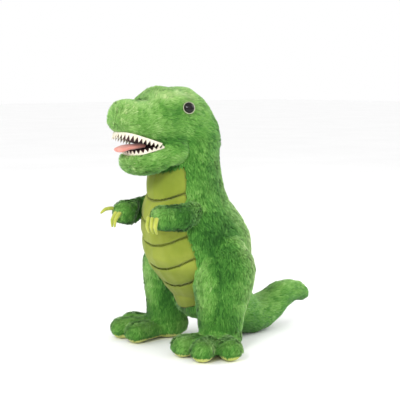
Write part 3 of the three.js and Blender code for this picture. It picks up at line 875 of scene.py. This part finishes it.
def make_leg(skin, spots, own, sign, side):
    ankle = node_centre(f"leg_fur_{side}")
    toe_comb = away_from((ankle[0], ankle[1] + 10 * MM, 70 * MM), (0, 0, -0.4))

    def short(points, out):
        return 6.5 * MM * (0.35 + 0.65 * ramp(points[:, 2], SOLE_EDGE, SOLE_EDGE + 10 * MM))

    sole = own & (spots[:, 2] < SOLE_EDGE + 0.8 * MM * ripples(spots, 30 * MM, 17))
    foot = own & ~sole & (spots[:, 2] < ANKLE)
    tone = leg_tone(sign, side)
    made = furred(f"leg_fur_pile_{side}", skin, own & (spots[:, 2] >= ANKLE), downwards, tone, 41 + sign)
    padded_fur(made, [f"leg_fur_{side}", f"leg_stuffing_{side}"], "torso")
    made = furred(f"foot_fur_pile_{side}", skin, foot, toe_comb, tone, 45 + sign, short)
    padded_fur(made, [f"foot_fur_{side}", f"foot_bean_bag_{side}"], "torso")
    made = bare_part(f"sole_velour_{side}", skin, sole, SOLE, "torso")
    padded_fur(made, [f"sole_{side}"])


def lift(skin, centre, radii, move):
    """Moves the part of a skin around a point."""
    points, faces = skin
    return points + near(points, centre, radii)[:, None] * np.array(move), faces


def head_skin():
    """Head and jaw have one skin, which is one cloth behind the corners of the mouth."""
    nodes = [*HEAD_NODES, "eye_washer_left", "eye_washer_right"]
    fillers = [(NECK + mm(0, 0, 38), (NECK_RADIUS, NECK_RADIUS, 24 * MM))]
    for sign, side in SIDES:
        eye, out = eye_axis(side)
        fillers.append((eye - 8.6 * MM * out, [8.2 * MM] * 3))
        fillers.append((JAW_HINGE + mm(sign * 21, 3, -1), [20 * MM] * 3))
    skin = skin_of([*nodes, "jaw_fur", "jaw_stuffing"], fillers, rounds=6)
    low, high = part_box("head_fur_left")
    nose, top = low.y, high.z
    for sign, side in SIDES:
        eye, _ = eye_axis(side)
        skin = swell(skin, eye + mm(-4 * sign, -4, 12), mm(10, 18, 7), 2.5 * MM)
        skin = swell(skin, eye + mm(0, -17, -2), mm(9, 9, 10), -2.5 * MM)
    skin = lift(skin, (0, nose + 18 * MM, top - 16 * MM), mm(30, 26, 14), (0, 0, 6.5 * MM))
    skin = lift(skin, (0, nose + 46 * MM, top - 10 * MM), mm(34, 13, 16), (0, 0, -3.5 * MM))
    skin = lift(skin, (0, nose + 72 * MM, top - 2 * MM), mm(34, 16, 12), (0, -2 * MM, 3.5 * MM))
    skin = lift(skin, (0, nose + 94 * MM, top), mm(50, 22, 14), (0, 0, -3 * MM))
    return skin


def lip_height(points):
    """Height of the upper lip at a place along the snout: the top of the tooth strip there."""
    low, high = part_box("teeth_upper")
    share = np.clip((high.y - points[:, 1]) / (high.y - low.y), 0, 1)
    strip = high.z - low.z
    return low.z + 0.25 * strip + 0.75 * strip * share


def mouth_masks(skin, owner):
    """Which triangles of the head's skin line the mouth: its roof, on the head, and its floor, on the jaw."""
    spots = centres(skin)
    turned = flat_normals(skin)
    facing = turned[:, 2]
    inwards = turned[:, 0] * np.sign(spots[:, 0]) < 0.3
    level = (spots[:, 1] < JAW_HINGE[1] - 8 * MM) & (np.abs(facing) > 0.6) & inwards
    teeth, lining = ["teeth_upper", "teeth_lower"], ["mouth_lining_upper", "mouth_lining_lower"]
    level &= owners(skin, [teeth, lining]) == 1
    low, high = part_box("teeth_upper")
    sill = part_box("teeth_lower")[0].z
    corner = inwards & (np.abs(spots[:, 0]) < 0.84 * high.x) & (spots[:, 2] > sill) & (spots[:, 2] < high.z)
    corner &= (spots[:, 1] < JAW_HINGE[1] - 4 * MM) & (spots[:, 1] > low.y + 9 * MM)
    roof = (owner == 0) & ((level & (facing < 0)) | corner)
    floor = (owner == 1) & ((level & (facing > 0)) | corner)
    return roof, floor


def head_comb(points, out):
    """Back from the nose, drooping more and more towards the neck, and down over the lip."""
    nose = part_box("head_fur_left")[0].y
    back = np.tile([0.0, 0.9, 0.45], (len(points), 1))
    droop = 1.25 * ramp(points[:, 1], nose + 20 * MM, NECK[1] + 30 * MM)[:, None] * DOWN
    lip = 0.6 * np.exp(-(((points[:, 2] - lip_height(points)) / (7 * MM)) ** 2))[:, None] * DOWN
    return back + droop + lip


def head_pile(points, out):
    """Length of the head's pile, which is clipped around the eyes and shorter on the snout."""
    share = np.ones(len(points))
    for _, side in SIDES:
        eye, _ = eye_axis(side)
        gap = np.linalg.norm(points - eye, axis=1)
        share = np.minimum(share, 0.3 + 0.7 * ramp(gap, 8 * MM, 17 * MM))
    snout = 0.75 + 0.25 * ramp(points[:, 1], JAW_HINGE[1] - 50 * MM, JAW_HINGE[1])
    return PILE * share * snout


def make_head():
    skin = head_skin()
    spots = centres(skin)
    owner = owners(skin, [HEAD_NODES[:2], ["jaw_fur"]])
    reach = np.hypot(spots[:, 0], spots[:, 1] - NECK[1])
    face = (spots[:, 2] > NECK[2] + 4 * MM) & (reach > NECK_RADIUS - PILE_STANDS) & (spots[:, 1] < NECK[1])
    roof, floor = mouth_masks(skin, owner)
    head = (owner == 0) & ((spots[:, 2] >= HEAD_START - 3 * MM) | face) & ~roof
    jaw = (owner == 1) & ~floor
    bare_part("mouth_roof", skin, roof, LINING, "head")
    bare_part("mouth_floor", skin, floor, LINING, "jaw")
    fine = {"spacing": 0.95 * MM, "width": 0.9 * MM}
    for sign, side in SIDES:
        eye, _ = eye_axis(side)
        clear = np.linalg.norm(spots - eye, axis=1) > EYE_RADIUS + 0.6 * MM
        chosen = head & clear & (spots[:, 0] * sign >= 0)
        name = f"head_fur_pile_{side}"
        made = furred(name, skin, chosen, head_comb, head_tone, 21 + sign, head_pile, **fine)
        padded_fur(made, [f"head_fur_{side}", *(HEAD_NODES[2:] if sign > 0 else [])], "head")
    made = furred("jaw_fur_pile", skin, jaw, head_comb, jaw_tone, 31, 6.5 * MM, **fine)
    padded_fur(made, ["jaw_fur", "jaw_stuffing"])
    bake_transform(made)


def make_tail():
    root = (TAIL_ROOT + mm(0, -6, 2), [32 * MM] * 3)
    skin = skin_of(["tail_fur_left", "tail_fur_right", "tail_stuffing"], [root])
    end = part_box("tail_fur_left")[1].y
    tip = (0, end - 10 * MM, 43 * MM)
    skin = swell(skin, tip, mm(18, 22, 18), 2.5 * MM)
    skin = lift(skin, tip, mm(30, 34, 30), (0, 0, -3 * MM))
    points, _ = skin
    points[:, 2] = np.maximum(points[:, 2], TAIL_GAP)
    spots = centres(skin)

    def comb(points, out):
        return np.tile([0.0, 1.0, -0.15], (len(points), 1))

    for sign, side in SIDES:
        chosen = spots[:, 0] * sign >= 0
        made = furred(f"tail_fur_pile_{side}", skin, chosen, comb, tail_tone, 51 + sign)
        padded_fur(made, [f"tail_fur_{side}", *(["tail_stuffing"] if sign > 0 else [])], "tail")


def make_arms():
    for sign, side in SIDES:
        shoulder = (SHOULDERS[side], [18 * MM] * 3)
        points, faces = skin_of([f"arm_fur_{side}", f"arm_stuffing_{side}"], [shoulder])
        sunk = ramp(points[:, 1], SHOULDERS[side][1] - 30 * MM, SHOULDERS[side][1] + 8 * MM)
        points[:, 0] -= sign * 11 * MM * sunk
        points[:, 2] -= 2.2 * MM * (1 - sunk)
        skin = (points, faces)
        chosen = np.ones(len(faces), bool)

        def comb(points, out):
            return np.tile([0.0, -0.55, -0.8], (len(points), 1))

        made = furred(f"arm_fur_pile_{side}", skin, chosen, comb, arm_tone(side), 61 + sign, 6 * MM)
        padded_fur(made, [f"arm_fur_{side}", f"arm_stuffing_{side}"], f"arm_{side}")
        for k in range(1, 4):
            node = f"claw_{side}_{k}"
            claw = fine_copy(f"claw_felt_{side}_{k}", [node], 0.5 * MM, 2, CLAW, grow=0.7 * MM)
            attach(claw, f"arm_{side}")
            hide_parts(node)


def make_belly():
    """Six velour panels, crowned between the cross seams and pinched where they are sewn."""
    for k, node in enumerate(BELLY, 1):
        points, faces = remeshed([node_arrays([node])], 1.4 * MM)
        points = smoothed(points, faces, 3)
        rise = 0.008 / MM
        level = points[:, 2] - rise * points[:, 0] ** 2
        low, high = np.percentile(level, 0.5), np.percentile(level, 99.5)
        share = np.clip((level - low) / (high - low), 0, 1)
        crown = np.sin(math.pi * share) ** 0.55
        out = corner_normals(points, faces)
        wrinkle = 0.25 * MM * ripples(points, 14 * MM, 70 + k) * crown
        push = (3.0 * MM * crown - 1.6 * MM + wrinkle) * (out[:, 1] < 0.2)
        points = points + push[:, None] * out
        panel = piece(f"belly_velour_{k}", mesh_of(node, points, faces), VELOUR)
        if k == 1:
            across_neck(panel)
        else:
            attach(panel, "torso")
        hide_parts(node)


def make_mouth():
    parts = [
        ("teeth_upper", "head", 0.5, TOOTH, "tooth", 0, 1.3),
        ("mouth_lining_upper", "head", 0.7, LINING, "mouth", 0, 0),
        ("teeth_lower", "jaw", 0.5, TOOTH, "tooth", 0, -0.6),
        ("mouth_lining_lower", "jaw", 0.7, LINING, "mouth", 0, 0),
        ("tongue", "jaw", 0.9, TONGUE, "tongue", 0.9, 0),
    ]
    for node, body, voxel, material, slot, grow, rise in parts:
        made = fine_copy(f"{node}_felt", [node], voxel * MM, 1, material, grow * MM, rise * MM)
        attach(made, body)
        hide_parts(node)


# ---------------------------------------------------------------- floor, lights and camera


FLOOR_SIZE = 24
LIGHTS_AIM = (0, 0, 0.16)  # half way up the toy


def make_stage():
    reach = FLOOR_SIZE / 2
    corners = [(-reach, -reach, 0), (reach, -reach, 0), (reach, reach, 0), (-reach, reach, 0)]
    floor_material, tree, shader = new_material("studio_floor", 0.9)
    cloud = noise(tree, 3)
    tone = colour_ramp(tree, [(0.3, (0.95, 0.95, 0.95, 1)), (0.7, (0.98, 0.98, 0.98, 1))])
    tree.links.new(cloud.outputs["Fac"], tone.inputs["Fac"])
    tree.links.new(tone.outputs["Color"], shader.inputs["Base Color"])
    mesh = mesh_of("floor", corners, [(0, 1, 2, 3)])
    mesh.materials.append(floor_material)
    floor = bpy.data.objects.new("floor", mesh)
    bpy.context.scene.collection.objects.link(floor)


def area_light(name, place, size, power):
    """A square light of the given size and power, turned to the toy."""
    light = bpy.data.lights.new(name, "AREA")
    light.size = size
    light.energy = power
    made = bpy.data.objects.new(name, light)
    made.location = place
    aim = Vector(LIGHTS_AIM) - Vector(place)
    made.rotation_euler = aim.to_track_quat("-Z", "Y").to_euler()
    bpy.context.scene.collection.objects.link(made)


def make_lights():
    world = bpy.data.worlds.new("studio")
    world.use_nodes = True
    world.node_tree.nodes["Background"].inputs["Color"].default_value = (1, 1, 1, 1)
    world.node_tree.nodes["Background"].inputs["Strength"].default_value = 1.0
    bpy.context.scene.world = world
    area_light("key", (-0.1, -1.4, 1.2), 0.55, 3.5)
    area_light("fill", (1.6, -0.5, 0.9), 1.0, 1.5)
    area_light("back", (0.6, 1.3, 1.0), 1.0, 11)
    area_light("catch", (0.75, -1.2, 0.95), 0.35, 12)


CAMERA_PLACE = (1.0342, -0.9122, 0.333)
CAMERA_AIM = (0.0080, -0.0348, 0.183)
FOCAL_LENGTH = 97.8


def make_camera():
    """As the photograph was taken: from the toy's front left, level with the top of its head."""
    lens = bpy.data.cameras.new("camera")
    lens.lens = FOCAL_LENGTH
    camera = bpy.data.objects.new("camera", lens)
    camera.location = CAMERA_PLACE
    aim = Vector(CAMERA_AIM) - camera.location
    camera.rotation_euler = aim.to_track_quat("-Z", "Y").to_euler()
    bpy.context.scene.collection.objects.link(camera)
    bpy.context.scene.camera = camera
    bpy.context.scene.view_settings.view_transform = "Standard"


make_camera()
make_lights()
make_stage()
make_body()
make_head()
make_tail()
make_arms()
make_belly()
make_mouth()
make_eyes()
